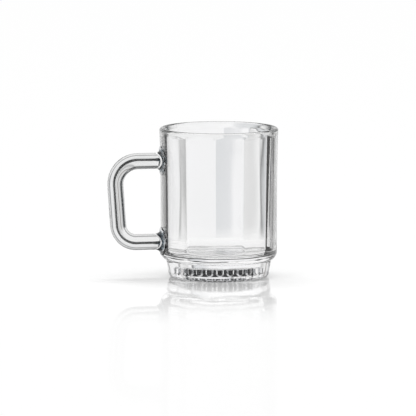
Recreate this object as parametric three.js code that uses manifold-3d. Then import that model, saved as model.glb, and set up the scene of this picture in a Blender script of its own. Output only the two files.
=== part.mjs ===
// A pressed glass stacking mug: a bowl with flat panels on the inside of a round wall, a stepped
// foot with a fluted recess underneath, and a bent glass rod for a handle, sealed on at both ends.
// Millimetres, +Z up. Inside the mug group the mug's own axis is Z and the handle points to -X.

import * as THREE from 'three';
import { mergeVertices } from 'three/addons/utils/BufferGeometryUtils.js';
import Module from 'manifold-3d';

// Bowl
const MUG_HEIGHT = 78;
const WALL_RADIUS = 30.4; // outside of the straight wall
const RIM_FLARE = 0.6; // how far the lip stands out from the straight wall
const FLARE_HEIGHT = 34; // the wall opens out over this height below the lip
const LIP_THICKNESS = 2;
const LIP_DEPTH = 3.4; // round mouth above the panels
const PANEL_COUNT = 12;
const PANEL_WALL_TOP = 3.1; // glass at the middle of a panel, below the lip
const PANEL_WALL_LOW = 3.7; // and just above the floor
const BOWL_BOTTOM = 3.65; // glass between the inner floor and the top of the foot
const FLOOR_ROUND = 3.4; // rounding where the panels run into the floor
const SHOULDER_ROUND = 4.3; // rounding from the wall in to the top of the foot

// Foot
const STACK_CLEARANCE = 0.4; // the foot drops this clear into the panels of a mug below
const RECESS_DEPTH = 6;
const FOOT_WEB = 2.95; // glass between the roof of the recess and the bowl
const FOOT_DRAFT = 0.5; // the foot narrows by this towards the table
const FOOT_EDGE = 2.5; // rounding of the outer bottom edge
const BEARING_WIDTH = 8; // flat ring that the mug stands on
const RECESS_EDGE = 1.8; // rounding of the inner bottom edge
const FLUTE_COUNT = 20;
const FLUTE_RADIUS = 1.6;
const FLUTE_DEPTH = 0.7;
const FLUTE_LAND = 0.4; // plain wall between the flutes and the roof of the recess
const FLUTE_FOOT = 0.4; // and between the flutes and the rounded edge below them

// Handle
const ROD_RADIUS = 4.2;
const HANDLE_REACH = 28.6; // from the straight wall to the outside of the rod
const UPPER_BAR_HEIGHT = 61.3; // middle of the rod above the table
const BAR_SPACING = 42.5; // from the upper bar down to the lower one
const UPPER_BEND = 11.8; // bend radii of the middle of the rod
const LOWER_BEND = 9.7;
const GRIP_LEAN = THREE.MathUtils.degToRad(4); // the foot of the grip leans in to the wall
const UPPER_SEAL_LENGTH = 3.2; // from the straight wall to the end of the rod
const LOWER_SEAL_LENGTH = 4;
const SEAL_FLARE = 1.8; // a seal is this much wider than the rod at the wall
const SEAL_GAP = 0.3; // between a seal and the wall that it hugs

// Fineness of the facets
const ROUND_SIDES = PANEL_COUNT * 6;
const ARC_STEPS = 3;
const ROD_SIDES = 18;
const ROD_STEPS = 48;
const SEAL_SIDES = 28;
const FLUTE_SIDES = 20;
const OVERCUT = 1; // a cutter runs this far past the face that it cuts

// Sizes that follow from the ones above
const rimRadius = WALL_RADIUS + RIM_FLARE;
const mouthRadius = rimRadius - LIP_THICKNESS;
const lipRadius = LIP_THICKNESS / 2;
const lipHeight = MUG_HEIGHT - lipRadius;
const panelTop = MUG_HEIGHT - LIP_DEPTH;
const panelRadiusTop = rimRadius - PANEL_WALL_TOP;
const panelRadiusLow = WALL_RADIUS - PANEL_WALL_LOW;
const ridgeRatio = 1 / Math.cos(Math.PI / PANEL_COUNT);
const footHeight = RECESS_DEPTH + FOOT_WEB;
const floorHeight = footHeight + BOWL_BOTTOM;
const footTopRadius = panelRadiusTop - STACK_CLEARANCE;
const footLowRadius = footTopRadius - FOOT_DRAFT;
const recessRadius = footLowRadius - FOOT_EDGE - BEARING_WIDTH - RECESS_EDGE;
const lowerBarHeight = UPPER_BAR_HEIGHT - BAR_SPACING;

const wasm = await Module();
wasm.setup();

// Turns a three.js geometry into a closed solid that can be cut.
function solidFrom(geometry) {
  const bare = geometry.clone();
  bare.deleteAttribute('normal');
  bare.deleteAttribute('uv');
  const { attributes, index } = mergeVertices(bare);
  const corners = [];
  for (let i = 0; i < index.count; i += 3) {
    const [a, b, c] = [index.getX(i), index.getX(i + 1), index.getX(i + 2)];
    if (a !== b && b !== c && c !== a) corners.push(a, b, c);
  }
  const vertProperties = new Float32Array(attributes.position.array);
  const triVerts = new Uint32Array(corners);
  return new wasm.Manifold(new wasm.Mesh({ numProp: 3, vertProperties, triVerts }));
}

// Turns a solid back into a three.js geometry.
function geometryFrom(solid) {
  const { vertProperties, triVerts } = solid.getMesh();
  const geometry = new THREE.BufferGeometry();
  geometry.setAttribute('position', new THREE.BufferAttribute(vertProperties, 3));
  geometry.setIndex(new THREE.BufferAttribute(triVerts, 1));
  geometry.computeVertexNormals();
  return geometry;
}

// Revolves a line of (radius, height) points about the Z axis.
function turned(points) {
  return new THREE.LatheGeometry(points, ROUND_SIDES).rotateX(Math.PI / 2);
}

// Runs a line up the outside of the straight wall and out to the lip, a gap away from the glass.
function climbWall(line, gap) {
  const flareFoot = lipHeight - FLARE_HEIGHT;
  line.lineTo(WALL_RADIUS + gap, flareFoot);
  line.quadraticCurveTo(WALL_RADIUS + gap, (flareFoot + lipHeight) / 2, rimRadius + gap, lipHeight);
}

// The bowl before pressing: its underside, shoulder and wall, the round lip and the mouth down to the
// top of the panels.
function bowlBlank() {
  const line = new THREE.Path();
  const shoulderMiddle = WALL_RADIUS - SHOULDER_ROUND;
  const shoulderStart = Math.acos((footTopRadius - shoulderMiddle) / SHOULDER_ROUND);
  const shoulderTop = footHeight + SHOULDER_ROUND * Math.sin(shoulderStart);
  const mouthTaper = mouthRadius - panelRadiusTop;
  line.moveTo(0, footHeight);
  line.lineTo(footTopRadius, footHeight);
  line.absarc(shoulderMiddle, shoulderTop, SHOULDER_ROUND, -shoulderStart, 0);
  climbWall(line, 0);
  line.absarc(rimRadius - lipRadius, lipHeight, lipRadius, 0, Math.PI);
  line.lineTo(mouthRadius, panelTop + mouthTaper);
  line.lineTo(panelRadiusTop, panelTop);
  line.lineTo(0, panelTop);
  return solidFrom(turned(line.getPoints(ARC_STEPS)));
}

// The plunger that presses the inside: a tapered prism with one flat for each panel and a round nose.
function plunger() {
  const top = panelTop + OVERCUT;
  const height = top - floorHeight;
  const growth = (panelRadiusTop - panelRadiusLow) / (panelTop - floorHeight);
  const ridgeTop = (panelRadiusLow + growth * height) * ridgeRatio;
  const ridgeLow = panelRadiusLow * ridgeRatio;
  const halfPanel = Math.PI / PANEL_COUNT;
  const flats = new THREE.CylinderGeometry(ridgeTop, ridgeLow, height, PANEL_COUNT, 1, false, halfPanel);
  flats.rotateX(Math.PI / 2).translate(0, 0, floorHeight + height / 2);

  const nose = new THREE.Path();
  nose.moveTo(0, floorHeight);
  nose.lineTo(ridgeLow - FLOOR_ROUND, floorHeight);
  nose.absarc(ridgeLow - FLOOR_ROUND, floorHeight + FLOOR_ROUND, FLOOR_ROUND, -Math.PI / 2, 0);
  nose.lineTo(ridgeTop + OVERCUT, top + OVERCUT);
  nose.lineTo(0, top + OVERCUT);
  return solidFrom(flats).intersect(solidFrom(turned(nose.getPoints(ARC_STEPS))));
}

function makeBowl() {
  return geometryFrom(bowlBlank().subtract(plunger()));
}

// One upright cutter for a flute, standing in the wall of the recess.
function fluteCutter(turn) {
  const top = RECESS_DEPTH - FLUTE_LAND;
  const height = top - RECESS_EDGE - FLUTE_FOOT;
  const cutter = new THREE.CylinderGeometry(FLUTE_RADIUS, FLUTE_RADIUS, height, FLUTE_SIDES);
  cutter.rotateX(Math.PI / 2);
  cutter.translate(recessRadius + FLUTE_DEPTH - FLUTE_RADIUS, 0, top - height / 2);
  return solidFrom(cutter.rotateZ(turn));
}

function makeFoot() {
  const line = new THREE.Path();
  line.moveTo(0, RECESS_DEPTH);
  line.lineTo(recessRadius, RECESS_DEPTH);
  line.lineTo(recessRadius, RECESS_EDGE);
  line.absarc(recessRadius + RECESS_EDGE, RECESS_EDGE, RECESS_EDGE, Math.PI, 1.5 * Math.PI);
  line.absarc(footLowRadius - FOOT_EDGE, FOOT_EDGE, FOOT_EDGE, -Math.PI / 2, 0);
  line.lineTo(footTopRadius, footHeight);
  line.lineTo(0, footHeight);
  let foot = solidFrom(turned(line.getPoints(ARC_STEPS)));
  for (let i = 0; i < FLUTE_COUNT; i += 1) {
    foot = foot.subtract(fluteCutter(((i + 0.5) * 2 * Math.PI) / FLUTE_COUNT));
  }
  return geometryFrom(foot);
}

// The middle line of the handle's rod, in the plane through the mug's axis.
class RodLine extends THREE.Curve {
  constructor() {
    super();
    const upperMiddle = new THREE.Vector2(
      ROD_RADIUS + UPPER_BEND - WALL_RADIUS - HANDLE_REACH,
      UPPER_BAR_HEIGHT - UPPER_BEND,
    );
    const lowerMiddleHeight = lowerBarHeight + LOWER_BEND;
    const gripSide = Math.PI + GRIP_LEAN;
    const drop = upperMiddle.y - lowerMiddleHeight;
    const shift = (LOWER_BEND - UPPER_BEND - drop * Math.sin(gripSide)) / Math.cos(gripSide);
    this.path = new THREE.Path();
    this.path.moveTo(-WALL_RADIUS - UPPER_SEAL_LENGTH, UPPER_BAR_HEIGHT);
    this.path.lineTo(upperMiddle.x, UPPER_BAR_HEIGHT);
    this.path.absarc(upperMiddle.x, upperMiddle.y, UPPER_BEND, Math.PI / 2, gripSide);
    this.path.absarc(upperMiddle.x - shift, lowerMiddleHeight, LOWER_BEND, gripSide, 1.5 * Math.PI);
    this.path.lineTo(-WALL_RADIUS - LOWER_SEAL_LENGTH, lowerBarHeight);
  }

  getPoint(t, target = new THREE.Vector3()) {
    const point = this.path.getPoint(t);
    return target.set(point.x, 0, point.y);
  }
}

function makeHandle() {
  const section = new THREE.Shape().absarc(0, 0, ROD_RADIUS, 0, 2 * Math.PI);
  const extrudePath = new RodLine();
  return new THREE.ExtrudeGeometry(section, {
    steps: ROD_STEPS,
    curveSegments: ROD_SIDES / 2,
    extrudePath,
  });
}

// The wall grown by the seal's gap, from below a seal up to the lip, which trims the seal to its curve.
function wallCutter(bottom) {
  const line = new THREE.Path();
  line.moveTo(0, bottom);
  line.lineTo(WALL_RADIUS + SEAL_GAP, bottom);
  climbWall(line, SEAL_GAP);
  line.lineTo(0, lipHeight);
  return solidFrom(turned(line.getPoints(ARC_STEPS)));
}

// A flared collar of glass between the end of the rod and the wall, at the height of one bar.
function makeSeal(barHeight, length) {
  const wide = ROD_RADIUS + SEAL_FLARE;
  const rodEnd = -WALL_RADIUS - length;
  const line = new THREE.Path();
  line.moveTo(0, wide - WALL_RADIUS);
  line.lineTo(wide, wide - WALL_RADIUS);
  line.lineTo(wide, -WALL_RADIUS);
  line.absellipse(wide, rodEnd, SEAL_FLARE, length, Math.PI / 2, Math.PI);
  line.lineTo(0, rodEnd);
  const profile = line.getPoints(ARC_STEPS).reverse();
  const collar = new THREE.LatheGeometry(profile, SEAL_SIDES).rotateZ(-Math.PI / 2);
  collar.translate(0, 0, barHeight);
  return geometryFrom(solidFrom(collar).subtract(wallCutter(barHeight - wide - OVERCUT)));
}

function glass(color) {
  return new THREE.MeshStandardMaterial({ color, roughness: 0.04, metalness: 0 });
}

const pieces = [
  ['bowl', makeBowl(), glass('#e4e9ea')],
  ['stacking_foot', makeFoot(), glass('#cfd6d8')],
  ['handle', makeHandle(), glass('#dde4e6')],
  ['upper_handle_seal', makeSeal(UPPER_BAR_HEIGHT, UPPER_SEAL_LENGTH), glass('#aebac0')],
  ['lower_handle_seal', makeSeal(lowerBarHeight, LOWER_SEAL_LENGTH), glass('#aebac0')],
];

// The origin is the middle of the footprint, so the mug's axis stands to the +X side of it.
const mug = new THREE.Group();
mug.position.x = (WALL_RADIUS + HANDLE_REACH - rimRadius) / 2;
for (const [name, geometry, material] of pieces) {
  const mesh = new THREE.Mesh(geometry, material);
  mesh.name = name;
  mug.add(mesh);
}

const part = new THREE.Group();
part.add(mug);

export default part;
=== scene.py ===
"""A small pressed glass mug with a rod handle, dressed and lit as a product photograph."""

import logging
import math
from collections.abc import Callable
from dataclasses import dataclass
from enum import Enum
from functools import partial
from typing import Any

import bmesh
import bpy
from mathutils import Matrix, Vector


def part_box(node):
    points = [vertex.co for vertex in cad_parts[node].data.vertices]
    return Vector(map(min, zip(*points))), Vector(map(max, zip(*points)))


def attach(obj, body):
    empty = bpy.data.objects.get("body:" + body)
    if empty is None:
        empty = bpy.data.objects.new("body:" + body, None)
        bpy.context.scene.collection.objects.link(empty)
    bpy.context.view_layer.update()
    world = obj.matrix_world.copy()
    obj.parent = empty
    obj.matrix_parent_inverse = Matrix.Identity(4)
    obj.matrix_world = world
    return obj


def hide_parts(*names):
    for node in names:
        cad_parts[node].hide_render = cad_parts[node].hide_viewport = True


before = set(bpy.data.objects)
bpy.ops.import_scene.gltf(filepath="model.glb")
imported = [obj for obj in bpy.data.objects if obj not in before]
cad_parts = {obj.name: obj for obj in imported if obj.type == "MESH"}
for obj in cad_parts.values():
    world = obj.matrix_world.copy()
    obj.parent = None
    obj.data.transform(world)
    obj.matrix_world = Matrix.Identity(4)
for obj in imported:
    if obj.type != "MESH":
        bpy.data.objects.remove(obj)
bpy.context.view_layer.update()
BODY = "root"
WHITE = "#ffffff"
MM = 0.001
FULL_TURN = 2 * math.pi
QUARTER_TURN = math.pi / 2
FULL_DEGREES = 360
QUARTER_DEGREES = 90
IMAGE_PIXELS = 416
SENSOR_WIDTH_MM = 36.0
# The sRGB curve: a straight foot up to the knee, then a power.
BYTE_TOP = 255
SRGB_KNEE, SRGB_SLOPE, SRGB_OFFSET, SRGB_POWER = 0.04045, 12.92, 0.055, 2.4
# Vertices closer than this become one.
MERGE_DISTANCE = 0.0005 * MM
# A vertex this near to a surface lies on it.
TOUCH = 0.01 * MM
# How far the close points of a straight stretch lie from its ends.
HOLD = 0.12 * MM
# Material number of the skin of a hollow.
HOLLOW = 1
# Light with fewer diffuse bounces than this hasn't touched the table.
FIRST_BOUNCE = 0.5
# Sockets of a Mix node for colours, and of one for numbers.
COLOUR_A, COLOUR_B, COLOUR_MIX = 6, 7, 2
NUMBER_A, NUMBER_B = 2, 3

Pair = tuple[float, float]
Shape = bmesh.types.BMesh
Ring = list[bmesh.types.BMEdge]

log = logging.getLogger("glass_mug")


def mm(length: float) -> float:
    """Returns a length in millimetres as metres."""
    return length * MM


def linear(hex_colour: str) -> tuple[float, float, float, float]:
    """Turns an sRGB hex colour into the linear colour that shaders take.

    Args:
        hex_colour: A colour such as "#e4e9ea".

    Returns:
        Red, green, blue and an alpha of 1.
    """
    channels = [byte / BYTE_TOP for byte in bytes.fromhex(hex_colour[1:])]
    red, green, blue = (
        share / SRGB_SLOPE
        if share <= SRGB_KNEE
        else ((share + SRGB_OFFSET) / (1 + SRGB_OFFSET)) ** SRGB_POWER
        for share in channels
    )
    return red, green, blue, 1.0


def smooth_step(low: float, high: float, value: float) -> float:
    """Returns 0 up to low, 1 from high on and an S curve between, where low may be the greater."""
    share = min(max((value - low) / (high - low), 0.0), 1.0)
    return share * share * (3 - 2 * share)


def add_node(
    tree: bpy.types.NodeTree,
    kind: str,
    settings: dict[str, Any] | None = None,
    values: dict[str | int, Any] | None = None,
    links: dict[str | int, bpy.types.NodeSocket] | None = None,
) -> bpy.types.Node:
    """Adds a node with its settings, its plain values and its links.

    Args:
        tree: The node tree to add to.
        kind: The node's type name.
        settings: Properties of the node itself.
        values: Plain values for input sockets, by socket name or number.
        links: Output sockets that feed input sockets, by socket name or number.

    Returns:
        The new node.
    """
    node = tree.nodes.new(kind)
    for name, value in (settings or {}).items():
        setattr(node, name, value)
    for socket, value in (values or {}).items():
        node.inputs[socket].default_value = value
    for socket, source in (links or {}).items():
        tree.links.new(source, node.inputs[socket])
    return node


def empty_tree(name: str) -> tuple[bpy.types.Material, bpy.types.NodeTree]:
    """Makes a material with an empty node tree.

    Args:
        name: The material's name.

    Returns:
        The material and its tree.
    """
    material = bpy.data.materials.new(name)
    material.use_nodes = True
    material.node_tree.nodes.clear()
    return material, material.node_tree


def object_from(shape: Shape, name: str, *materials: bpy.types.Material) -> bpy.types.Object:
    """Turns a shape into a smooth object.

    Args:
        shape: The shape, which is freed here. Faces marked HOLLOW are the skin of a hollow in it.
        name: The object's name.
        materials: What it is made of, by the material number of its faces.

    Returns:
        The new object, linked to the scene.
    """
    bmesh.ops.remove_doubles(shape, verts=shape.verts, dist=MERGE_DISTANCE)
    bmesh.ops.recalc_face_normals(shape, faces=shape.faces)
    hollow = [face for face in shape.faces if face.material_index == HOLLOW]
    bmesh.ops.reverse_faces(shape, faces=hollow)
    for face in shape.faces:
        face.smooth = True
    mesh = bpy.data.meshes.new(name)
    shape.to_mesh(mesh)
    shape.free()
    for material in materials:
        mesh.materials.append(material)
    piece = bpy.data.objects.new(name, mesh)
    bpy.context.scene.collection.objects.link(piece)
    return piece


def dress_faces(
    piece: bpy.types.Object, skins: type[Enum], skin_of: Callable[[bpy.types.MeshPolygon], Enum]
) -> None:
    """Gives each face of a piece the glass of the surface that it belongs to.

    Args:
        piece: The piece, still without materials.
        skins: The kinds of surface, each with its glass as its value.
        skin_of: Says which surface a face belongs to.
    """
    order = list(skins)
    for skin in order:
        piece.data.materials.append(skin.value.material())
    for face in piece.data.polygons:
        face.material_index = order.index(skin_of(face))


class Outline:
    """A line of points at a radius and a height, turned about the Z axis to make a round solid."""

    def __init__(self, radius: float, height: float) -> None:
        """Starts the line at one point."""
        self.points = [Vector((radius, 0.0, height))]

    def line(self, radius: float, height: float, steps: int = 1, hold: float = HOLD) -> None:
        """Adds a straight stretch, with a close point at each end that keeps its shading flat.

        Args:
            radius: Where the stretch ends.
            height: Where the stretch ends.
            steps: Parts between the two close points.
            hold: How far the close points lie from the ends.
        """
        start = self.points[-1]
        end = Vector((radius, 0.0, height))
        share = hold / (end - start).length
        for step in range(steps + 1):
            self.points.append(start.lerp(end, share + (1 - 2 * share) * step / steps))
        self.points.append(end)

    def arc(self, middle: Pair, size: Pair, start: float, end: float, steps: int) -> None:
        """Adds a round stretch.

        Args:
            middle: Radius and height of the arc's middle.
            size: The arc's half widths along the radius and along the height.
            start: Angle of its first point in degrees, from straight out towards straight up.
            end: Angle of its last point.
            steps: Number of parts.
        """
        for step in range(steps + 1):
            angle = math.radians(start + (end - start) * step / steps)
            radius = middle[0] + size[0] * math.cos(angle)
            height = middle[1] + size[1] * math.sin(angle)
            self.points.append(Vector((radius, 0.0, height)))

    def turned(self, wedges: int, steps: int) -> Shape:
        """Turns the line through one wedge, then repeats the wedge once round the Z axis.

        Args:
            wedges: Number of wedges in a full turn.
            steps: Number of sides in a wedge.

        Returns:
            The closed shape.
        """
        shape = bmesh.new()
        verts = [shape.verts.new(point) for point in self.points]
        edges = [shape.edges.new(pair) for pair in zip(verts, verts[1:])]
        wedge = FULL_TURN / wedges
        axis = {"cent": (0.0, 0.0, 0.0), "axis": (0.0, 0.0, 1.0)}
        bmesh.ops.spin(shape, geom=verts + edges, angle=wedge, steps=steps, **axis)
        parts = [*shape.verts, *shape.edges, *shape.faces]
        bmesh.ops.spin(
            shape, geom=parts, angle=FULL_TURN - wedge, steps=wedges - 1, use_duplicate=True, **axis
        )
        bmesh.ops.remove_doubles(shape, verts=shape.verts, dist=MERGE_DISTANCE)
        return shape


@dataclass(frozen=True)
class GlassFinish:
    """Clear soda-lime glass, whose tint, streaks and waves depend on how its surface was made.

    Its base colour holds painted shade: it darkens towards its edge tint where the surface turns away
    from the view, and towards its line tint in a painted dark line where it slants by line_slant.
    Its waves are deeper than on real glass, because finer ones wouldn't show in the render.
    """

    name: str
    tint: str
    streak_tint: str
    streak_mm: tuple[float, float, float]
    wave_depth_mm: float
    painted_edge_tint: str = "#707476"
    edge_power: float = 16.0
    painted_line_tint: str = ""
    line_slant: float = 0.3
    line_width: float = 0.1
    clearness: float = 1.0
    roughness: float = 0.0
    ior: float = 1.52

    def material(self) -> bpy.types.Material:
        """Makes the material.

        Returns:
            Glass with faint streaks of tint and a slow waviness, darkened by painted shade where it
            turns away.
        """
        material, tree = empty_tree(self.name)
        place = add_node(tree, "ShaderNodeTexCoord")
        scale = tuple(1 / mm(size) for size in self.streak_mm)
        streaks = add_node(
            tree, "ShaderNodeMapping", values={"Scale": scale}, links={"Vector": place.outputs["Object"]}
        )
        noise = add_node(
            tree,
            "ShaderNodeTexNoise",
            values={"Scale": 1.0, "Detail": 0.0},
            links={"Vector": streaks.outputs["Vector"]},
        )
        tint = add_node(
            tree,
            "ShaderNodeMix",
            settings={"data_type": "RGBA"},
            values={COLOUR_A: linear(self.tint), COLOUR_B: linear(self.streak_tint)},
            links={0: noise.outputs["Fac"]},
        )
        wave = add_node(
            tree,
            "ShaderNodeBump",
            values={"Strength": 1.0, "Distance": mm(self.wave_depth_mm)},
            links={"Height": noise.outputs["Fac"]},
        )
        # Painted shade: the colour darkens by how far the surface turns away from the view.
        slant = add_node(tree, "ShaderNodeLayerWeight")
        edge = add_node(
            tree,
            "ShaderNodeMath",
            settings={"operation": "POWER"},
            values={1: self.edge_power},
            links={0: slant.outputs["Facing"]},
        )
        drawn = add_node(
            tree,
            "ShaderNodeMix",
            settings={"data_type": "RGBA"},
            values={COLOUR_B: linear(self.painted_edge_tint)},
            links={0: edge.outputs[0], COLOUR_A: tint.outputs[COLOUR_MIX]},
        )
        # Painted shade: a dark line where the surface slants by line_slant.
        if self.painted_line_tint:
            beside = add_node(
                tree,
                "ShaderNodeMath",
                settings={"operation": "SUBTRACT"},
                values={1: self.line_slant},
                links={0: slant.outputs["Facing"]},
            )
            distance = add_node(
                tree, "ShaderNodeMath", settings={"operation": "ABSOLUTE"}, links={0: beside.outputs[0]}
            )
            line = add_node(
                tree,
                "ShaderNodeMapRange",
                settings={"interpolation_type": "SMOOTHSTEP"},
                values={"From Max": self.line_width, "To Min": 1.0, "To Max": 0.0},
                links={"Value": distance.outputs[0]},
            )
            drawn = add_node(
                tree,
                "ShaderNodeMix",
                settings={"data_type": "RGBA"},
                values={COLOUR_B: linear(self.painted_line_tint)},
                links={0: line.outputs[0], COLOUR_A: drawn.outputs[COLOUR_MIX]},
            )
        glass = add_node(
            tree,
            "ShaderNodeBsdfPrincipled",
            values={
                "Transmission Weight": self.clearness,
                "IOR": self.ior,
                "Roughness": self.roughness,
            },
            links={"Base Color": drawn.outputs[COLOUR_MIX], "Normal": wave.outputs["Normal"]},
        )
        add_node(tree, "ShaderNodeOutputMaterial", links={"Surface": glass.outputs["BSDF"]})
        return material


# Pressed in an iron mould: almost colourless and glossy, with the mould's slow waviness.
# Its grey edge where it turns away is painted shade.
PRESSED_GLASS = GlassFinish(
    name="pressed_soda_lime_glass",
    tint="#ffffff",
    streak_tint="#fbfbfb",
    streak_mm=(6.0, 6.0, 40.0),
    wave_depth_mm=0.25,
)

# Fire-polished lip, tightly rounded, with a painted dark outline where it turns away and a thin painted
# dark line where it slants.
LIP_GLASS = GlassFinish(
    name="fire_polished_lip_glass",
    tint="#ffffff",
    streak_tint="#f6f6f5",
    streak_mm=(6.0, 6.0, 6.0),
    wave_depth_mm=0.03,
    painted_edge_tint="#2a2f31",
    edge_power=3.0,
    painted_line_tint="#181c1e",
    line_slant=0.66,
    line_width=0.26,
)

# Outside of the wall, polished by the flame: clear to look through, with painted shade that darkens it
# where it turns away and a painted grey line where it slants.
OUTER_GLASS = GlassFinish(
    name="flame_polished_outer_glass",
    tint="#ffffff",
    streak_tint="#fbfbfb",
    streak_mm=(12.0, 12.0, 30.0),
    wave_depth_mm=0.15,
    painted_edge_tint="#24282a",
    edge_power=2.4,
    painted_line_tint="#666564",
    line_slant=0.6,
    line_width=0.2,
)

# Shoulder and foot, pressed in the lower half of the mould: clear, with a thin painted dark outline
# where they turn away.
FOOT_GLASS = GlassFinish(
    name="mould_pressed_foot_glass",
    tint="#ffffff",
    streak_tint="#fafafb",
    streak_mm=(8.0, 8.0, 8.0),
    wave_depth_mm=0.2,
    painted_edge_tint="#24282a",
    edge_power=6.0,
)

# Flanks of the flutes, polished by the mould: they mirror the light sideways and glint.
# A painted grey edge darkens them where they turn away.
FLANK_GLASS = GlassFinish(
    name="mould_polished_flank_glass",
    tint="#d8dadc",
    streak_tint="#b8babc",
    streak_mm=(3.0, 3.0, 3.0),
    wave_depth_mm=0.05,
)

# Lands and floors of the flutes: painted shade, a near-black tint and a low IOR that mirrors little, so
# that looked through from the side they are almost black.
LAND_SHADE_GLASS = GlassFinish(
    name="flute_land_painted_shade_glass",
    tint="#08090a",
    streak_tint="#030304",
    streak_mm=(3.0, 3.0, 3.0),
    wave_depth_mm=0.05,
    painted_edge_tint="#101214",
    edge_power=3.0,
    ior=1.25,
)

# Drawn as a rod and bent over a flame: the same glass with fine streaks and a softer wave.
# Painted shade darkens it where it turns away and draws grey lines along it where it slants.
DRAWN_ROD_GLASS = GlassFinish(
    name="flame_bent_rod_glass",
    tint="#f8f8f8",
    streak_tint="#e8e9e9",
    streak_mm=(12.0, 4.0, 12.0),
    wave_depth_mm=0.25,
    painted_edge_tint="#202426",
    edge_power=1.9,
    painted_line_tint="#545455",
)

# A fine line of air drawn out with the rod, with a bright edge on both sides; its skin is tinted dark
# grey, painted shade that draws a dark line along the rod.
AIR_LINE_GLASS = GlassFinish(
    name="air_line_skin_glass",
    tint="#343536",
    streak_tint="#464646",
    streak_mm=(9.0, 4.0, 9.0),
    wave_depth_mm=0.02,
)

# A hot gather squeezed between rod and wall, thicker than the rod; its dark blue-grey tint and edge are
# painted shade at the joint.
SEAL_GLASS = GlassFinish(
    name="hot_gathered_seal_glass",
    tint="#74828b",
    streak_tint="#687781",
    streak_mm=(4.0, 4.0, 4.0),
    wave_depth_mm=0.05,
    painted_edge_tint="#56646e",
)

# The gather's rim, spread on the hot wall: clear and lumpy, so it shows the room in bright dots.
# Its grey edge where it turns away is painted shade.
PUDDLE_GLASS = GlassFinish(
    name="hot_spread_gather_glass",
    tint="#ffffff",
    streak_tint="#f4f6f8",
    streak_mm=(3.0, 3.0, 3.0),
    wave_depth_mm=0.5,
    painted_edge_tint="#808a90",
    edge_power=4.0,
)

# Where the gather meets the rod: a painted highlight, an opaque white band that stands in for a bright
# line of light.
SEAM_HIGHLIGHT_GLASS = GlassFinish(
    name="seam_painted_highlight_glass",
    tint="#ffffff",
    streak_tint="#f6f8f9",
    streak_mm=(2.0, 2.0, 2.0),
    wave_depth_mm=0.02,
    painted_edge_tint="#ffffff",
    edge_power=1.0,
    clearness=0.0,
    roughness=0.2,
)


class BodySkin(Enum):
    """The surfaces of the pressed body, by the glass that the making left on each, with painted shade on
    the flute lands.
    """

    INSIDE = PRESSED_GLASS
    LIP = LIP_GLASS
    LAND = LAND_SHADE_GLASS
    OUTSIDE = OUTER_GLASS
    FLANK = FLANK_GLASS
    FOOT = FOOT_GLASS


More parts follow.
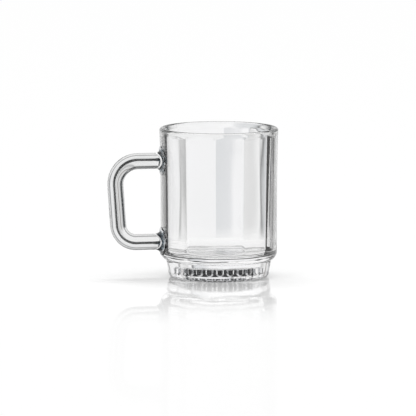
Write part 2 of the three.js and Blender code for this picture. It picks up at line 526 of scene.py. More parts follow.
@dataclass
class PressedBody:
    """The bowl and its stepped foot: one pressing of glass, so its skin is one unbroken surface."""

    axis_x: float
    height: float
    rim_radius: float
    foot_height: float
    foot_radius: float
    wall_radius: float = mm(30.4)
    flare_height: float = mm(34.0)
    lip_thickness: float = mm(2.6)
    lip_depth: float = mm(3.0)
    mouth_fade: float = mm(1.0)
    mouth_rise: float = mm(0.9)
    panel_count: int = 12
    panel_wall_top: float = mm(3.1)
    panel_wall_low: float = mm(3.7)
    ridge_round: float = mm(3.0)
    bowl_bottom: float = mm(3.65)
    floor_round: float = mm(3.4)
    shoulder_round: float = mm(4.3)
    foot_draft: float = mm(1.3)
    foot_edge: float = mm(2.3)
    foot_edge_height: float = mm(1.8)
    recess_radius: float = mm(14.7)
    recess_depth: float = mm(6.9)
    recess_edge: float = mm(1.8)
    roof_round: float = mm(0.4)
    flute_count: int = 20
    flute_depth: float = mm(0.7)
    flute_width: float = mm(2.7)
    flute_foot: float = mm(2.9)
    flute_flank: float = mm(0.4)
    land_slant: float = 0.9
    # The painted dark band of the flutes, their near-black lands, starts above the rounded edge and
    # stops short of the roof.
    band_rise: float = mm(0.9)
    band_drop: float = mm(0.8)
    band_slack: float = mm(0.05)
    sides_per_panel: int = 40
    flare_steps: int = 12

    @classmethod
    def from_frame(cls) -> "PressedBody":
        """Takes the main sizes from the CAD nodes.

        Returns:
            The body at its real size and place.
        """
        bowl_low, bowl_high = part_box("bowl")
        foot_low, foot_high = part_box("stacking_foot")
        return cls(
            axis_x=(bowl_low.x + bowl_high.x) / 2,
            height=bowl_high.z,
            rim_radius=(bowl_high.x - bowl_low.x) / 2,
            foot_height=foot_high.z,
            foot_radius=(foot_high.x - foot_low.x) / 2,
        )

    @property
    def mouth_radius(self) -> float:
        """Inside of the lip."""
        return self.rim_radius - self.lip_thickness

    @property
    def panel_top(self) -> float:
        """Height where the panels give way to the round mouth."""
        return self.height - self.lip_depth

    @property
    def floor_height(self) -> float:
        """Height of the drink's floor."""
        return self.foot_height + self.bowl_bottom

    @property
    def lip_height(self) -> float:
        """Height of the middle of the lip's round."""
        return self.height - self.lip_thickness / 2

    @property
    def shoulder_middle(self) -> float:
        """Radius of the middle of the shoulder's round."""
        return self.wall_radius - self.shoulder_round

    @property
    def shoulder_start(self) -> float:
        """Angle below straight out where the shoulder's round leaves the foot."""
        return math.acos((self.foot_radius - self.shoulder_middle) / self.shoulder_round)

    @property
    def shoulder_height(self) -> float:
        """Height where the shoulder's round ends and the wall goes straight up."""
        return self.foot_height + self.shoulder_round * math.sin(self.shoulder_start)

    def outer_radius(self, height: float) -> float:
        """Gives the outside from the shoulder up, for what is sealed to the wall.

        Args:
            height: Where on the wall.

        Returns:
            The radius there.
        """
        below = max(self.shoulder_height - height, 0.0)
        drop = min(below, self.shoulder_round)
        sagged = self.shoulder_middle + math.sqrt(self.shoulder_round**2 - drop**2)
        rise = max(height - self.lip_height + self.flare_height, 0.0) / self.flare_height
        return sagged + (self.rim_radius - self.wall_radius) * rise**2

    def outline(self) -> Outline:
        """Draws the section: up the recess, round the foot, up the wall, over the lip and down inside.

        Returns:
            The section from the middle of the recess's roof to the middle of the floor.
        """
        lip = self.lip_thickness / 2
        foot_low_radius = self.foot_radius - self.foot_draft
        panel_radius_top = self.rim_radius - self.panel_wall_top
        panel_radius_low = self.wall_radius - self.panel_wall_low

        section = Outline(0.0, self.recess_depth)
        section.line(self.recess_radius - self.roof_round, self.recess_depth, steps=3)
        section.arc(
            (self.recess_radius - self.roof_round, self.recess_depth - self.roof_round),
            (self.roof_round, self.roof_round),
            start=90,
            end=0,
            steps=6,
        )
        section.line(self.recess_radius, self.recess_edge, steps=20)
        section.arc(
            (self.recess_radius + self.recess_edge, self.recess_edge),
            (self.recess_edge, self.recess_edge),
            start=180,
            end=270,
            steps=6,
        )
        section.line(foot_low_radius - self.foot_edge, 0.0, steps=2)
        section.arc(
            (foot_low_radius - self.foot_edge, self.foot_edge_height),
            (self.foot_edge, self.foot_edge_height),
            start=-90,
            end=0,
            steps=10,
        )
        section.line(self.foot_radius, self.foot_height, steps=3)
        section.arc(
            (self.shoulder_middle, self.shoulder_height),
            (self.shoulder_round, self.shoulder_round),
            start=-math.degrees(self.shoulder_start),
            end=0,
            steps=12,
        )
        section.line(self.wall_radius, self.lip_height - self.flare_height, steps=4)
        for step in range(1, self.flare_steps + 1):
            share = step / self.flare_steps
            radius = self.wall_radius + (self.rim_radius - self.wall_radius) * share**2
            height = self.lip_height - self.flare_height * (1 - share)
            section.points.append(Vector((radius, 0.0, height)))
        section.arc((self.rim_radius - lip, self.lip_height), (lip, lip), start=0, end=180, steps=14)
        section.line(self.mouth_radius, self.panel_top + self.mouth_radius - panel_radius_top, steps=3)
        section.line(panel_radius_top, self.panel_top - self.mouth_fade, steps=10)
        section.line(panel_radius_low, self.floor_height + self.floor_round, steps=8)
        section.arc(
            (panel_radius_low - self.floor_round, self.floor_height + self.floor_round),
            (self.floor_round, self.floor_round),
            start=0,
            end=-90,
            steps=12,
        )
        section.line(0.0, self.floor_height, steps=4)
        return section

    def panel_reach(self, turn: float) -> float:
        """Gives the shape of the flat panels with their rounded ridges.

        Args:
            turn: Angle round the axis, in radians, from the middle of a panel.

        Returns:
            Distance from the axis, where the middle of a panel is at 1.
        """
        half = math.pi / self.panel_count
        across = abs((turn + half) % (2 * half) - half)
        ridge = self.ridge_round / (self.wall_radius - self.panel_wall_low)
        flat_end = math.atan((1 - ridge) * math.tan(half))
        if across <= flat_end:
            return 1 / math.cos(across)
        from_ridge = half - across
        ridge_middle = (1 - ridge) / math.cos(half)
        return ridge_middle * math.cos(from_ridge) + math.sqrt(
            ridge**2 - (ridge_middle * math.sin(from_ridge)) ** 2
        )

    def press_panels(self, shape: Shape) -> None:
        """Presses the round inside of the bowl out into flat panels.

        Args:
            shape: The turned body, with its axis on Z.
        """
        for vert in shape.verts:
            radius = vert.co.xy.length
            inside = vert.co.z > self.floor_height - TOUCH and radius < self.mouth_radius + TOUCH
            if not inside or radius < TOUCH:
                continue
            mouth_start = self.panel_top + self.mouth_rise
            mouth = smooth_step(mouth_start, self.panel_top - self.mouth_fade, vert.co.z)
            floor = smooth_step(self.floor_height, self.floor_height + self.floor_round, vert.co.z)
            reach = self.panel_reach(math.atan2(vert.co.y, vert.co.x))
            vert.co.xy *= 1 + (reach - 1) * mouth * floor

    def press_flutes(self, shape: Shape) -> None:
        """Presses upright flutes with round feet into the wall of the recess.

        Args:
            shape: The turned body, with its axis on Z.
        """
        pitch = FULL_TURN / self.flute_count
        half = self.flute_width / 2
        roof_edge = self.recess_depth - self.roof_round
        for vert in shape.verts:
            radius = vert.co.xy.length
            if abs(radius - self.recess_radius) > TOUCH or vert.co.z > self.recess_depth:
                continue
            across = (math.atan2(vert.co.y, vert.co.x) % pitch - pitch / 2) * radius
            below = max(self.flute_foot + half - vert.co.z, 0.0)
            inside = half - math.hypot(across, below)
            sunk = smooth_step(-self.flute_flank, self.flute_flank, inside)
            roof = smooth_step(roof_edge, roof_edge - self.roof_round, vert.co.z)
            vert.co.xy *= 1 + self.flute_depth / radius * sunk * roof

    def skin_of(self, face: bpy.types.MeshPolygon) -> BodySkin:
        """Says which surface of the body a face belongs to.

        Args:
            face: A face of the finished body, at its place.

        Returns:
            The surface.
        """
        middle = face.center
        off_axis = middle.x - self.axis_x
        radius = math.hypot(off_axis, middle.y)
        outward = face.normal.x * off_axis + face.normal.y * middle.y
        band_low = self.recess_edge + self.band_rise
        band_high = self.recess_depth - self.band_drop
        band_radius = self.recess_radius + self.flute_depth + self.band_slack
        if middle.z > self.height - self.lip_thickness:
            return BodySkin.LIP
        if band_low < middle.z < band_high and radius < band_radius:
            return BodySkin.LAND if abs(outward) > self.land_slant * radius else BodySkin.FLANK
        if radius > self.foot_radius - self.foot_draft - self.foot_edge and outward > 0:
            on_wall = middle.z > self.foot_height + self.shoulder_round
            return BodySkin.OUTSIDE if on_wall else BodySkin.FOOT
        return BodySkin.INSIDE

    def build(self) -> bpy.types.Object:
        """Builds and dresses the body.

        Returns:
            The finished object.
        """
        shape = self.outline().turned(self.panel_count, self.sides_per_panel)
        self.press_panels(shape)
        self.press_flutes(shape)
        bmesh.ops.translate(shape, verts=shape.verts, vec=(self.axis_x, 0.0, 0.0))
        body = object_from(shape, "pressed_body")
        dress_faces(body, BodySkin, self.skin_of)
        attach(body, BODY)
        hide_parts("bowl", "stacking_foot")
        return body


class Joint(Enum):
    """The two places where the rod is sealed to the wall, by the name of the seal's CAD node."""

    UPPER = "upper_handle_seal"
    LOWER = "lower_handle_seal"


class SealSkin(Enum):
    """The surfaces of a seal, each with its glass."""

    GATHER = SEAL_GLASS
    SEAM = SEAM_HIGHLIGHT_GLASS
    PUDDLE = PUDDLE_GLASS


@dataclass
class RodHandle:
    """The bent glass rod and the two flared seals that hold it to the wall."""

    body: PressedBody
    grip_x: float
    upper_height: float
    lower_height: float
    upper_end_x: float
    lower_end_x: float
    rod_radius: float = mm(4.2)
    upper_bend: float = mm(11.8)
    lower_bend: float = mm(9.7)
    grip_lean: float = math.radians(4)
    seal_flare: float = mm(1.8)
    seal_sink: float = mm(0.3)
    seal_pinch: float = 0.75
    seal_overlap: float = mm(0.03)
    puddle_width: float = mm(1.7)
    puddle_height: float = mm(0.7)
    puddle_hold: float = mm(0.05)
    # Width of the painted highlight: the white band where the gather meets the rod.
    seam_width: float = mm(0.8)
    wall_clearance: float = mm(0.15)
    tip_height: float = mm(0.1)
    line_radius: float = mm(0.55)
    line_inset: float = mm(0.8)
    line_offset: float = mm(0.4)
    rod_sides: int = 64
    bar_steps: int = 6
    grip_steps: int = 10
    upper_bend_steps: int = 36
    lower_bend_steps: int = 32
    dome_steps: int = 12
    seal_wedges: int = 8
    wedge_sides: int = 12

    @classmethod
    def from_frame(cls, body: PressedBody) -> "RodHandle":
        """Takes the main sizes from the CAD nodes.

        Args:
            body: The body that the handle is sealed to.

        Returns:
            The handle at its real size and place.
        """
        rod_low, rod_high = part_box("handle")
        upper_low, upper_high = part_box(Joint.UPPER.value)
        lower_low, lower_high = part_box(Joint.LOWER.value)
        return cls(
            body=body,
            grip_x=rod_low.x + cls.rod_radius,
            upper_height=(upper_low.z + upper_high.z) / 2,
            lower_height=(lower_low.z + lower_high.z) / 2,
            upper_end_x=upper_low.x,
            lower_end_x=lower_low.x,
        )

    @property
    def wall_x(self) -> float:
        """Where the wall is, straight on from the rod."""
        return self.body.axis_x - self.body.wall_radius

    @property
    def seal_radius(self) -> float:
        """Radius of a seal where its flare ends and the spread glass starts."""
        return self.rod_radius + self.seal_flare

    def place(self, joint: Joint) -> Pair:
        """Returns where the rod ends at a joint, as X and height."""
        if joint is Joint.UPPER:
            return self.upper_end_x, self.upper_height
        return self.lower_end_x, self.lower_height

    @staticmethod
    def grow(shape: Shape, ring: Ring, move: Vector, scale: float, middle: Vector) -> Ring:
        """Extrudes a ring of edges, scales it about its middle and moves it.

        Args:
            shape: The shape that the ring belongs to.
            ring: The edges of the ring.
            move: How far the new ring moves.
            scale: The new ring's size against the old one.
            middle: The middle of the old ring.

        Returns:
            The edges of the new ring.
        """
        grown = bmesh.ops.extrude_edge_only(shape, edges=ring)["geom"]
        verts = [part for part in grown if isinstance(part, bmesh.types.BMVert)]
        bmesh.ops.scale(shape, verts=verts, vec=(scale,) * 3, space=Matrix.Translation(-middle))
        bmesh.ops.translate(shape, verts=verts, vec=move)
        corners = set(verts)
        edges = [part for part in grown if isinstance(part, bmesh.types.BMEdge)]
        return [edge for edge in edges if corners.issuperset(edge.verts)]

    def run(self, shape: Shape, ring: Ring, way: Vector, steps: int) -> Ring:
        """Extrudes a ring straight on.

        Args:
            shape: The shape that the ring belongs to.
            ring: Its open ring.
            way: Direction and length of the stretch.
            steps: Number of parts.

        Returns:
            The new open ring.
        """
        for _ in range(steps):
            ring = self.grow(shape, ring, way / steps, 1.0, Vector())
        return ring

    @staticmethod
    def bend(shape: Shape, ring: Ring, middle: Vector, angle: float, steps: int) -> Ring:
        """Sweeps a ring round a bend.

        Args:
            shape: The shape that the ring belongs to.
            ring: Its open ring.
            middle: Middle of the bend.
            angle: How far the ring turns.
            steps: Number of parts.

        Returns:
            The new open ring.
        """
        corners = list({vert for edge in ring for vert in edge.verts})
        swept = bmesh.ops.spin(
            shape, geom=corners + ring, cent=middle, axis=(0.0, -1.0, 0.0), angle=angle, steps=steps
        )
        return [part for part in swept["geom_last"] if isinstance(part, bmesh.types.BMEdge)]

    def close(self, shape: Shape, ring: Ring, end: Vector, height: float) -> None:
        """Closes one end of a sweep with a low dome that points to the wall.

        Args:
            shape: The swept shape.
            ring: The open ring at that end.
            end: The middle of the ring.
            height: How far the dome bulges.
        """
        middle = end.copy()
        size = 1.0
        for step in range(1, self.dome_steps + 1):
            angle = QUARTER_TURN * step / self.dome_steps
            target = math.cos(angle)
            rise = height * math.sin(angle)
            move = Vector((end.x + rise - middle.x, 0.0, 0.0))
            ring = self.grow(shape, ring, move, target / size, middle)
            middle += move
            size = target

    def sweep(self, shape: Shape, radius: float, ends: tuple[Vector, Vector], tip: float) -> None:
        """Sweeps a round section along the handle's middle line and closes both ends.

        Args:
            shape: The shape to add to.
            radius: Radius of the section.
            ends: Where the sweep starts on the upper bar and stops on the lower one.
            tip: How far the closed ends bulge.
        """
        upper_end, lower_end = ends
        upright = Matrix.Translation(upper_end) @ Matrix.Rotation(QUARTER_TURN, 4, "Y")
        circle = bmesh.ops.create_circle(shape, segments=self.rod_sides, radius=radius, matrix=upright)
        first = list({edge for vert in circle["verts"] for edge in vert.link_edges})

        upper_middle = Vector((self.grip_x + self.upper_bend, 0.0, self.upper_height - self.upper_bend))
        lower_middle_height = self.lower_height + self.lower_bend
        leaned = (upper_middle.z - lower_middle_height) * math.sin(self.grip_lean)
        shift = (self.upper_bend - self.lower_bend - leaned) / math.cos(self.grip_lean)
        lower_middle = Vector((upper_middle.x - shift, 0.0, lower_middle_height))
        grip_way = Vector((math.sin(self.grip_lean), 0.0, -math.cos(self.grip_lean)))
        grip_length = (lower_middle - upper_middle).dot(grip_way)
        upper_bar = Vector((upper_middle.x - upper_end.x, 0.0, 0.0))
        lower_bar = Vector((lower_end.x - lower_middle.x, 0.0, 0.0))

        ring = self.run(shape, first, upper_bar, self.bar_steps)
        ring = self.bend(shape, ring, upper_middle, QUARTER_TURN + self.grip_lean, self.upper_bend_steps)
        ring = self.run(shape, ring, grip_way * grip_length, self.grip_steps)
        ring = self.bend(shape, ring, lower_middle, QUARTER_TURN - self.grip_lean, self.lower_bend_steps)
        ring = self.run(shape, ring, lower_bar, self.bar_steps)
        self.close(shape, ring, lower_end, tip)
        self.close(shape, first, upper_end, tip)

    def build_rod(self) -> bpy.types.Object:
        """Builds the rod from its upper end, round both bends, to its lower end, with its air line.

        Returns:
            The finished object.
        """
        shape = bmesh.new()
        end_x = self.wall_x - self.wall_clearance - self.tip_height
        ends = (Vector((end_x, 0.0, self.upper_height)), Vector((end_x, 0.0, self.lower_height)))
        inset = Vector((-self.line_inset, 0.0, 0.0))
        outward = Vector((0.0, 0.0, self.line_offset))
        line_ends = (ends[0] + inset + outward, ends[1] + inset - outward)
        self.sweep(shape, self.line_radius, line_ends, self.line_radius)
        for face in shape.faces:
            face.material_index = HOLLOW
        solid = bmesh.new()
        self.sweep(solid, self.rod_radius, ends, self.tip_height)
        skin = bpy.data.meshes.new("rod_skin")
        solid.to_mesh(skin)
        solid.free()
        shape.from_mesh(skin)
        bpy.data.meshes.remove(skin)
        rod = object_from(shape, "handle_rod", DRAWN_ROD_GLASS.material(), AIR_LINE_GLASS.material())
        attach(rod, BODY)
        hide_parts("handle")
        return rod

    def seal_section(self, length: float) -> Outline:
        """Draws a seal's section: along the flare, over the spread glass and back beside the rod.

        Args:
            length: From the end of the flare to the wall.

        Returns:
            The closed section.
        """
        narrow = self.rod_radius - self.seal_overlap
        wide = self.seal_radius
        flare = (self.seal_flare, length - self.puddle_height)
        section = Outline(narrow, 0.0)
        section.arc((wide, 0.0), flare, start=180, end=90, steps=16)
        section.arc((wide, length), (self.puddle_width, self.puddle_height), start=-90, end=0, steps=12)
        section.line(wide + self.puddle_width, length + self.seal_sink, hold=self.puddle_hold)
        section.line(narrow, length + self.seal_sink, steps=2)
        section.line(narrow, 0.0, steps=4)
        return section

    def hug_wall(self, shape: Shape, joint: Joint) -> None:
        """Pinches a seal's sides towards the wall and bends it to the wall's round.

        Args:
            shape: The seal, straight on from the rod.
            joint: Which of the two joints.
        """
        end_x, height = self.place(joint)
        for vert in shape.verts:
            side = vert.co.y / math.hypot(vert.co.y, vert.co.z - height)
            left = max(self.wall_x - self.puddle_height - vert.co.x, 0.0)
            vert.co.x += left * self.seal_pinch * side**2
            along = (vert.co.x - end_x) / (self.wall_x - end_x)
            outside = self.body.outer_radius(vert.co.z)
            wall_x = self.body.axis_x - math.sqrt(outside**2 - vert.co.y**2)
            vert.co.x += (wall_x - self.wall_x) * smooth_step(0.0, 1.0, along)

    def skin_of(self, joint: Joint, face: bpy.types.MeshPolygon) -> SealSkin:
        """Says which surface of a seal a face belongs to.

        Args:
            joint: Which of the two joints.
            face: A face of the finished seal.

        Returns:
            The surface.
        """
        end_x, height = self.place(joint)
        middle = face.center
        radius = math.hypot(middle.y, middle.z - height)
        side = middle.y / radius
        start = end_x + (self.wall_x - end_x - self.puddle_height) * self.seal_pinch * side**2
        if middle.x - start < self.seam_width:
            return SealSkin.SEAM
        return SealSkin.PUDDLE if radius > self.seal_radius else SealSkin.GATHER

    def build_seal(self, joint: Joint) -> bpy.types.Object:
        """Builds and dresses the flared collar at one joint.

        Args:
            joint: Which of the two joints.

        Returns:
            The finished object.
        """
        end_x, height = self.place(joint)
        shape = self.seal_section(self.wall_x - end_x).turned(self.seal_wedges, self.wedge_sides)
        turn = Matrix.Translation((end_x, 0.0, height)) @ Matrix.Rotation(QUARTER_TURN, 4, "Y")
        bmesh.ops.transform(shape, matrix=turn, verts=shape.verts)
        self.hug_wall(shape, joint)
        seal = object_from(shape, joint.value.replace("handle_seal", "seal"))
        dress_faces(seal, SealSkin, partial(self.skin_of, joint))
        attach(seal, BODY)
        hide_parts(joint.value)
        return seal

    def build(self) -> list[bpy.types.Object]:
        """Builds and dresses the rod and both seals.

        Returns:
            The finished objects.
        """
        return [self.build_rod()] + [self.build_seal(joint) for joint in Joint]


@dataclass(frozen=True)
class SoftBox:
    """A soft lamp that faces the mug, with its place and size in metres."""

    name: str
    place: tuple[float, float, float]
    size: Pair
    watts: float


@dataclass
class Studio:
    """A white table, soft lamps, a glowing ring with painted dark bands that draws the edges of the
    glass, and the camera.
    """

    body: PressedBody
    floor_radius: float = 4.0
    floor_drop: float = mm(0.15)
    floor_colour: str = "#f6f6f6"
    floor_roughness: float = 0.04
    # Plain white laid over the table: close to the mug, far from it, and as seen through glass.
    near_share: float = 0.12
    far_share: float = 0.95
    white_edge: Pair = (mm(70), mm(190))
    through_share: float = 0.7
    # Colour that the glowing ring darkens to towards its top.
    dim_colour: str = "#16191b"
    # Painted bands on the glowing ring round the mug: azimuth in degrees and grey, blended from each to
    # the next.
    bands: tuple[tuple[float, str], ...] = (
        # Behind and to the right: a painted dark band and a narrow grey one.
        (100, "#f6f6f6"),
        (107, "#fafafa"),
        (110, "#2c2f31"),
        (113.5, "#2c2f31"),
        (117, "#f2f2f2"),
        (139.5, "#f8f8f8"),
        (141.5, "#6a6a6a"),
        (143.5, "#f4f4f4"),
        # Straight behind: pale glow with one thin painted dark strip and one soft grey one.
        (150, "#dedede"),
        (154.1, "#ffffff"),
        (155.0, "#343638"),
        (155.6, "#343638"),
        (156.4, "#dddfe1"),
        (163, "#e5e6e8"),
        (164.5, "#fafafb"),
        (199, "#f6f6f6"),
        (201.5, "#bcbcbc"),
        (210, "#f4f4f4"),
        # Behind and to the left: a narrow warm grey band and the wide painted dark one.
        (213, "#6e6660"),
        (216, "#e4e4e4"),
        (222, "#e0e0e0"),
        (229, "#2b3438"),
        (238, "#1a2226"),
        (244, "#e8e8e8"),
        # In front: plain pale glow.
        (262, "#f2f2f2"),
        (300, "#e2e4e6"),
        (330, "#fafafa"),
        (384, "#d0d4d6"),
        (420, "#f4f5f6"),
    )
    band_foot: Pair = (0.0, mm(12))
    # Heights where the glowing ring darkens towards its top, and the share of its bands left there.
    ceiling_edge: Pair = (mm(88), mm(112))
    ceiling_level: float = 0.3
    ring_radius: float = mm(105)
    ring_height: float = mm(300)
    round_sides: int = 96
    world_level: float = 0.6
    room_level: float = 0.3
    room_edge: Pair = (-0.2, 0.4)
    shade_level: float = 0.6
    camera_turn: float = math.radians(-11)
    camera_distance: float = 3.0
    camera_height: float = 0.4089
    camera_reach: float = 50.0
    look_height: float = mm(39)
    focal_pixels: float = 5795.5
    look_pixel: Pair = (218.8, 201.7)
    lamps: tuple[SoftBox, ...] = (
        SoftBox(name="top_softbox", place=(0.1, 0.3, 1.5), size=(1.4, 0.3), watts=13.0),
        SoftBox(name="left_softbox", place=(-1.0, -0.9, 0.7), size=(0.12, 1.0), watts=4.5),
        SoftBox(name="right_softbox", place=(1.2, -0.6, 0.7), size=(0.12, 1.0), watts=4.5),
    )

    @property
    def middle(self) -> Vector:
        """The middle of the mug, which the lamps and the camera face."""
        return Vector((self.body.axis_x, 0.0, self.look_height))

    def floor_material(self) -> bpy.types.Material:
        """Makes the table: a polished white sheet that keeps its shadows.

        Returns:
            The material, which mirrors the mug close by and fades to plain white further off.
        """
        material, tree = empty_tree("polished_white_acrylic_sheet")
        sheet = add_node(
            tree,
            "ShaderNodeBsdfPrincipled",
            values={"Base Color": linear(self.floor_colour), "Roughness": self.floor_roughness},
        )
        white = add_node(tree, "ShaderNodeEmission", values={"Color": linear(WHITE), "Strength": 1.0})
        place = add_node(tree, "ShaderNodeTexCoord")
        middle = add_node(
            tree,
            "ShaderNodeMapping",
            values={"Location": (-self.body.axis_x, 0.0, 0.0)},
            links={"Vector": place.outputs["Object"]},
        )
        reach = add_node(
            tree,
            "ShaderNodeVectorMath",
            settings={"operation": "LENGTH"},
            links={0: middle.outputs["Vector"]},
        )
        spread = add_node(
            tree,
            "ShaderNodeMapRange",
            settings={"interpolation_type": "SMOOTHSTEP"},
            values={
                "From Min": self.white_edge[0],
                "From Max": self.white_edge[1],
                "To Min": self.near_share,
                "To Max": self.far_share,
            },
            links={"Value": reach.outputs["Value"]},
        )
        path = add_node(tree, "ShaderNodeLightPath")
        through = add_node(
            tree,
            "ShaderNodeMath",
            settings={"operation": "MULTIPLY"},
            values={1: self.through_share},
            links={0: path.outputs["Is Transmission Ray"]},
        )
        share = add_node(
            tree,
            "ShaderNodeMath",
            settings={"operation": "MULTIPLY_ADD"},
            links={0: path.outputs["Is Camera Ray"], 1: spread.outputs[0], 2: through.outputs[0]},
        )
        mixed = add_node(
            tree,
            "ShaderNodeMixShader",
            links={0: share.outputs[0], 1: sheet.outputs["BSDF"], 2: white.outputs["Emission"]},
        )
        add_node(tree, "ShaderNodeOutputMaterial", links={"Surface": mixed.outputs["Shader"]})
        return material

    def build_floor(self) -> None:
        """Builds the table top, a hair below the ring that the mug stands on."""
        shape = bmesh.new()
        bmesh.ops.create_circle(
            shape,
            cap_ends=True,
            segments=self.round_sides,
            radius=self.floor_radius,
            matrix=Matrix.Translation((0.0, 0.0, -self.floor_drop)),
        )
        object_from(shape, "table", self.floor_material())

    def surround_material(self) -> bpy.types.Material:
        """Makes the glowing ring round the set, which is no lamp: white at its foot, with painted
        upright bands and darker towards its top.

        Returns:
            The material.
        """
        material, tree = empty_tree("glowing_ring_with_painted_bands")
        material.cycles.emission_sampling = "NONE"
        place = add_node(tree, "ShaderNodeTexCoord")
        middle = add_node(
            tree,
            "ShaderNodeMapping",
            values={"Location": (-self.body.axis_x, 0.0, 0.0)},
            links={"Vector": place.outputs["Object"]},
        )
        height = add_node(tree, "ShaderNodeSeparateXYZ", links={"Vector": place.outputs["Object"]})
        turn = add_node(
            tree,
            "ShaderNodeTexGradient",
            settings={"gradient_type": "RADIAL"},
            links={"Vector": middle.outputs["Vector"]},
        )
        first, first_grey = self.bands[0]
        # The gradient is a quarter turn ahead of the azimuth.
        from_first = add_node(
            tree,
            "ShaderNodeMath",
            settings={"operation": "SUBTRACT"},
            values={1: (first + QUARTER_DEGREES) / FULL_DEGREES},
            links={0: turn.outputs["Fac"]},
        )
        share = add_node(
            tree,
            "ShaderNodeMath",
            settings={"operation": "FLOORED_MODULO"},
            values={1: 1.0},
            links={0: from_first.outputs[0]},
        )
        ramp = add_node(tree, "ShaderNodeValToRGB", links={0: share.outputs[0]})
        stops = ramp.color_ramp.elements
        stops.remove(stops[1])
        stops[0].color = linear(first_grey)
        for azimuth, grey in (*self.bands[1:], (first + FULL_DEGREES, first_grey)):
            stops.new((azimuth - first) / FULL_DEGREES).color = linear(grey)
        foot = add_node(
            tree,
            "ShaderNodeMapRange",
            settings={"interpolation_type": "SMOOTHSTEP"},
            values={"From Min": self.band_foot[0], "From Max": self.band_foot[1]},
            links={"Value": height.outputs["Z"]},
        )
        drawn = add_node(
            tree,
            "ShaderNodeMix",
            settings={"data_type": "RGBA"},
            values={COLOUR_A: linear(WHITE)},
            links={0: foot.outputs[0], COLOUR_B: ramp.outputs["Color"]},
        )
        ceiling = add_node(
            tree,
            "ShaderNodeMapRange",
            settings={"interpolation_type": "SMOOTHSTEP"},
            values={
                "From Min": self.ceiling_edge[0],
                "From Max": self.ceiling_edge[1],
                "To Max": 1 - self.ceiling_level,
            },
            links={"Value": height.outputs["Z"]},
        )
        ring_colour = add_node(
            tree,
            "ShaderNodeMix",
            settings={"data_type": "RGBA"},
            values={COLOUR_B: linear(self.dim_colour)},
            links={0: ceiling.outputs[0], COLOUR_A: drawn.outputs[COLOUR_MIX]},
        )
        path = add_node(tree, "ShaderNodeLightPath")
        direct = add_node(
            tree,
            "ShaderNodeMath",
            settings={"operation": "LESS_THAN"},
            values={1: FIRST_BOUNCE},
            links={0: path.outputs["Diffuse Depth"]},
        )
        level = add_node(
            tree,
            "ShaderNodeMapRange",
            values={"To Min": self.shade_level},
            links={"Value": direct.outputs[0]},
        )
        # Painted light: the ring glows though it is no lamp, at full strength before any diffuse bounce
        # and at shade_level after.
        glow = add_node(
            tree,
            "ShaderNodeEmission",
            links={"Color": ring_colour.outputs[COLOUR_MIX], "Strength": level.outputs[0]},
        )
        add_node(tree, "ShaderNodeOutputMaterial", links={"Surface": glow.outputs["Emission"]})
        return material

    def build_surround(self) -> None:
        """Stands a glowing ring round the mug, no lamp, that only light bent by the glass can see."""
        shape = bmesh.new()
        foot = shape.verts.new((self.ring_radius, 0.0, 0.0))
        head = shape.verts.new((self.ring_radius, 0.0, self.ring_height))
        side = shape.edges.new((foot, head))
        bmesh.ops.spin(
            shape,
            geom=[foot, head, side],
            cent=(0.0, 0.0, 0.0),
            axis=(0.0, 0.0, 1.0),
            angle=FULL_TURN,
            steps=self.round_sides,
            use_merge=True,
        )
        bmesh.ops.translate(shape, verts=shape.verts, vec=(self.body.axis_x, 0.0, 0.0))
        ring = object_from(shape, "glowing_banded_surround", self.surround_material())
        ring.visible_camera = False
        ring.visible_diffuse = False
        ring.visible_glossy = False
        ring.visible_shadow = False

    def light_world(self) -> None:
        """Sets a soft surround: white to the camera and through glass, a room in reflections."""
        world = bpy.data.worlds.new("white_surround")
        bpy.context.scene.world = world
        world.use_nodes = True
        tree = world.node_tree
        tree.nodes.clear()
        path = add_node(tree, "ShaderNodeLightPath")
        clear = add_node(
            tree,
            "ShaderNodeMath",
            settings={"operation": "LESS_THAN"},
            values={1: FIRST_BOUNCE},
            links={0: path.outputs["Diffuse Depth"]},
        )
        bent = add_node(
            tree,
            "ShaderNodeMath",
            settings={"operation": "MULTIPLY"},
            links={0: path.outputs["Is Transmission Ray"], 1: clear.outputs[0]},
        )
        seen = add_node(
            tree,
            "ShaderNodeMath",
            settings={"operation": "MAXIMUM"},
            links={0: path.outputs["Is Camera Ray"], 1: bent.outputs[0]},
        )
        level = add_node(
            tree,
            "ShaderNodeMapRange",
            values={"To Min": self.world_level, "To Max": 1.0},
            links={"Value": seen.outputs[0]},
        )
        shade = add_node(
            tree,
            "ShaderNodeMath",
            settings={"operation": "SUBTRACT"},
            links={0: path.outputs["Is Transmission Ray"], 1: bent.outputs[0]},
        )
        dimmed = add_node(
            tree,
            "ShaderNodeMapRange",
            values={"To Min": 1.0, "To Max": self.shade_level},
            links={"Value": shade.outputs[0]},
        )
        strength = add_node(
            tree,
            "ShaderNodeMath",
            settings={"operation": "MULTIPLY"},
            links={0: level.outputs[0], 1: dimmed.outputs[0]},
        )
        place = add_node(tree, "ShaderNodeTexCoord")
        way = add_node(tree, "ShaderNodeSeparateXYZ", links={"Vector": place.outputs["Generated"]})
        room = add_node(
            tree,
            "ShaderNodeMapRange",
            settings={"interpolation_type": "SMOOTHSTEP"},
            values={
                "From Min": self.room_edge[0],
                "From Max": self.room_edge[1],
                "To Min": self.room_level,
            },
            links={"Value": way.outputs["Y"]},
        )
        mirrored = add_node(
            tree,
            "ShaderNodeMix",
            links={
                0: path.outputs["Is Glossy Ray"],
                NUMBER_A: strength.outputs[0],
                NUMBER_B: room.outputs[0],
            },
        )
        surround = add_node(
            tree,
            "ShaderNodeBackground",
            values={"Color": linear(WHITE)},
            links={"Strength": mirrored.outputs[0]},
        )
        add_node(tree, "ShaderNodeOutputWorld", links={"Surface": surround.outputs["Background"]})

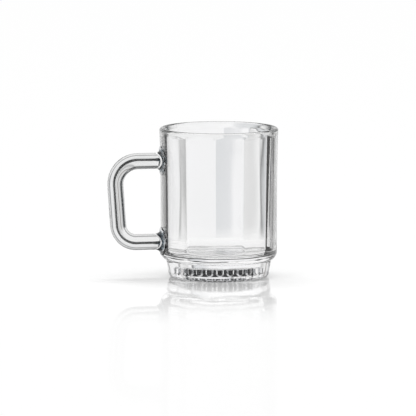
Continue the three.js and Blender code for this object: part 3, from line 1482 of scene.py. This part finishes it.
    def add_lamp(self, box: SoftBox) -> None:
        """Hangs a soft box that faces the mug, unseen in the glass.

        Args:
            box: The lamp.
        """
        data = bpy.data.lights.new(box.name, "AREA")
        data.shape = "RECTANGLE"
        data.size, data.size_y = box.size
        data.energy = box.watts
        lamp = bpy.data.objects.new(box.name, data)
        lamp.visible_transmission = False
        lamp.visible_glossy = False
        lamp.location = box.place
        sight = self.middle - Vector(box.place)
        lamp.rotation_euler = sight.to_track_quat("-Z", "Y").to_euler()
        bpy.context.scene.collection.objects.link(lamp)

    def add_camera(self) -> None:
        """Places the camera at the photograph's angle, distance and framing."""
        away = Vector((math.sin(self.camera_turn), -math.cos(self.camera_turn), 0.0))
        place = Vector((self.body.axis_x, 0.0, self.camera_height)) + away * self.camera_distance
        sight = (self.middle - place).normalized()
        right = sight.cross(Vector((0.0, 0.0, 1.0))).normalized()
        up = right.cross(sight)
        pixel = (self.middle - place).length / self.focal_pixels
        half = IMAGE_PIXELS / 2
        aside = right * (self.look_pixel[0] - half) * pixel
        above = up * (half - self.look_pixel[1]) * pixel
        aim = self.middle - aside - above
        data = bpy.data.cameras.new("camera")
        data.sensor_width = SENSOR_WIDTH_MM
        data.lens = self.focal_pixels * SENSOR_WIDTH_MM / IMAGE_PIXELS
        data.clip_end = self.camera_reach
        camera = bpy.data.objects.new("camera", data)
        camera.location = place
        camera.rotation_euler = (aim - place).to_track_quat("-Z", "Y").to_euler()
        bpy.context.scene.collection.objects.link(camera)
        bpy.context.scene.camera = camera

    def build(self) -> None:
        """Sets up the whole studio."""
        self.add_camera()
        self.build_floor()
        self.build_surround()
        self.light_world()
        for box in self.lamps:
            self.add_lamp(box)


def main() -> None:
    """Builds the mug piece by piece, sets up the studio and reports each piece."""
    logging.basicConfig(level=logging.INFO, format="%(name)s: %(message)s")
    bpy.context.scene.view_settings.view_transform = "Standard"
    body = PressedBody.from_frame()
    handle = RodHandle.from_frame(body)
    for piece in [body.build(), *handle.build()]:
        log.info("%s: %d faces", piece.name, len(piece.data.polygons))
    Studio(body).build()


if __name__ == "__main__":
    main()
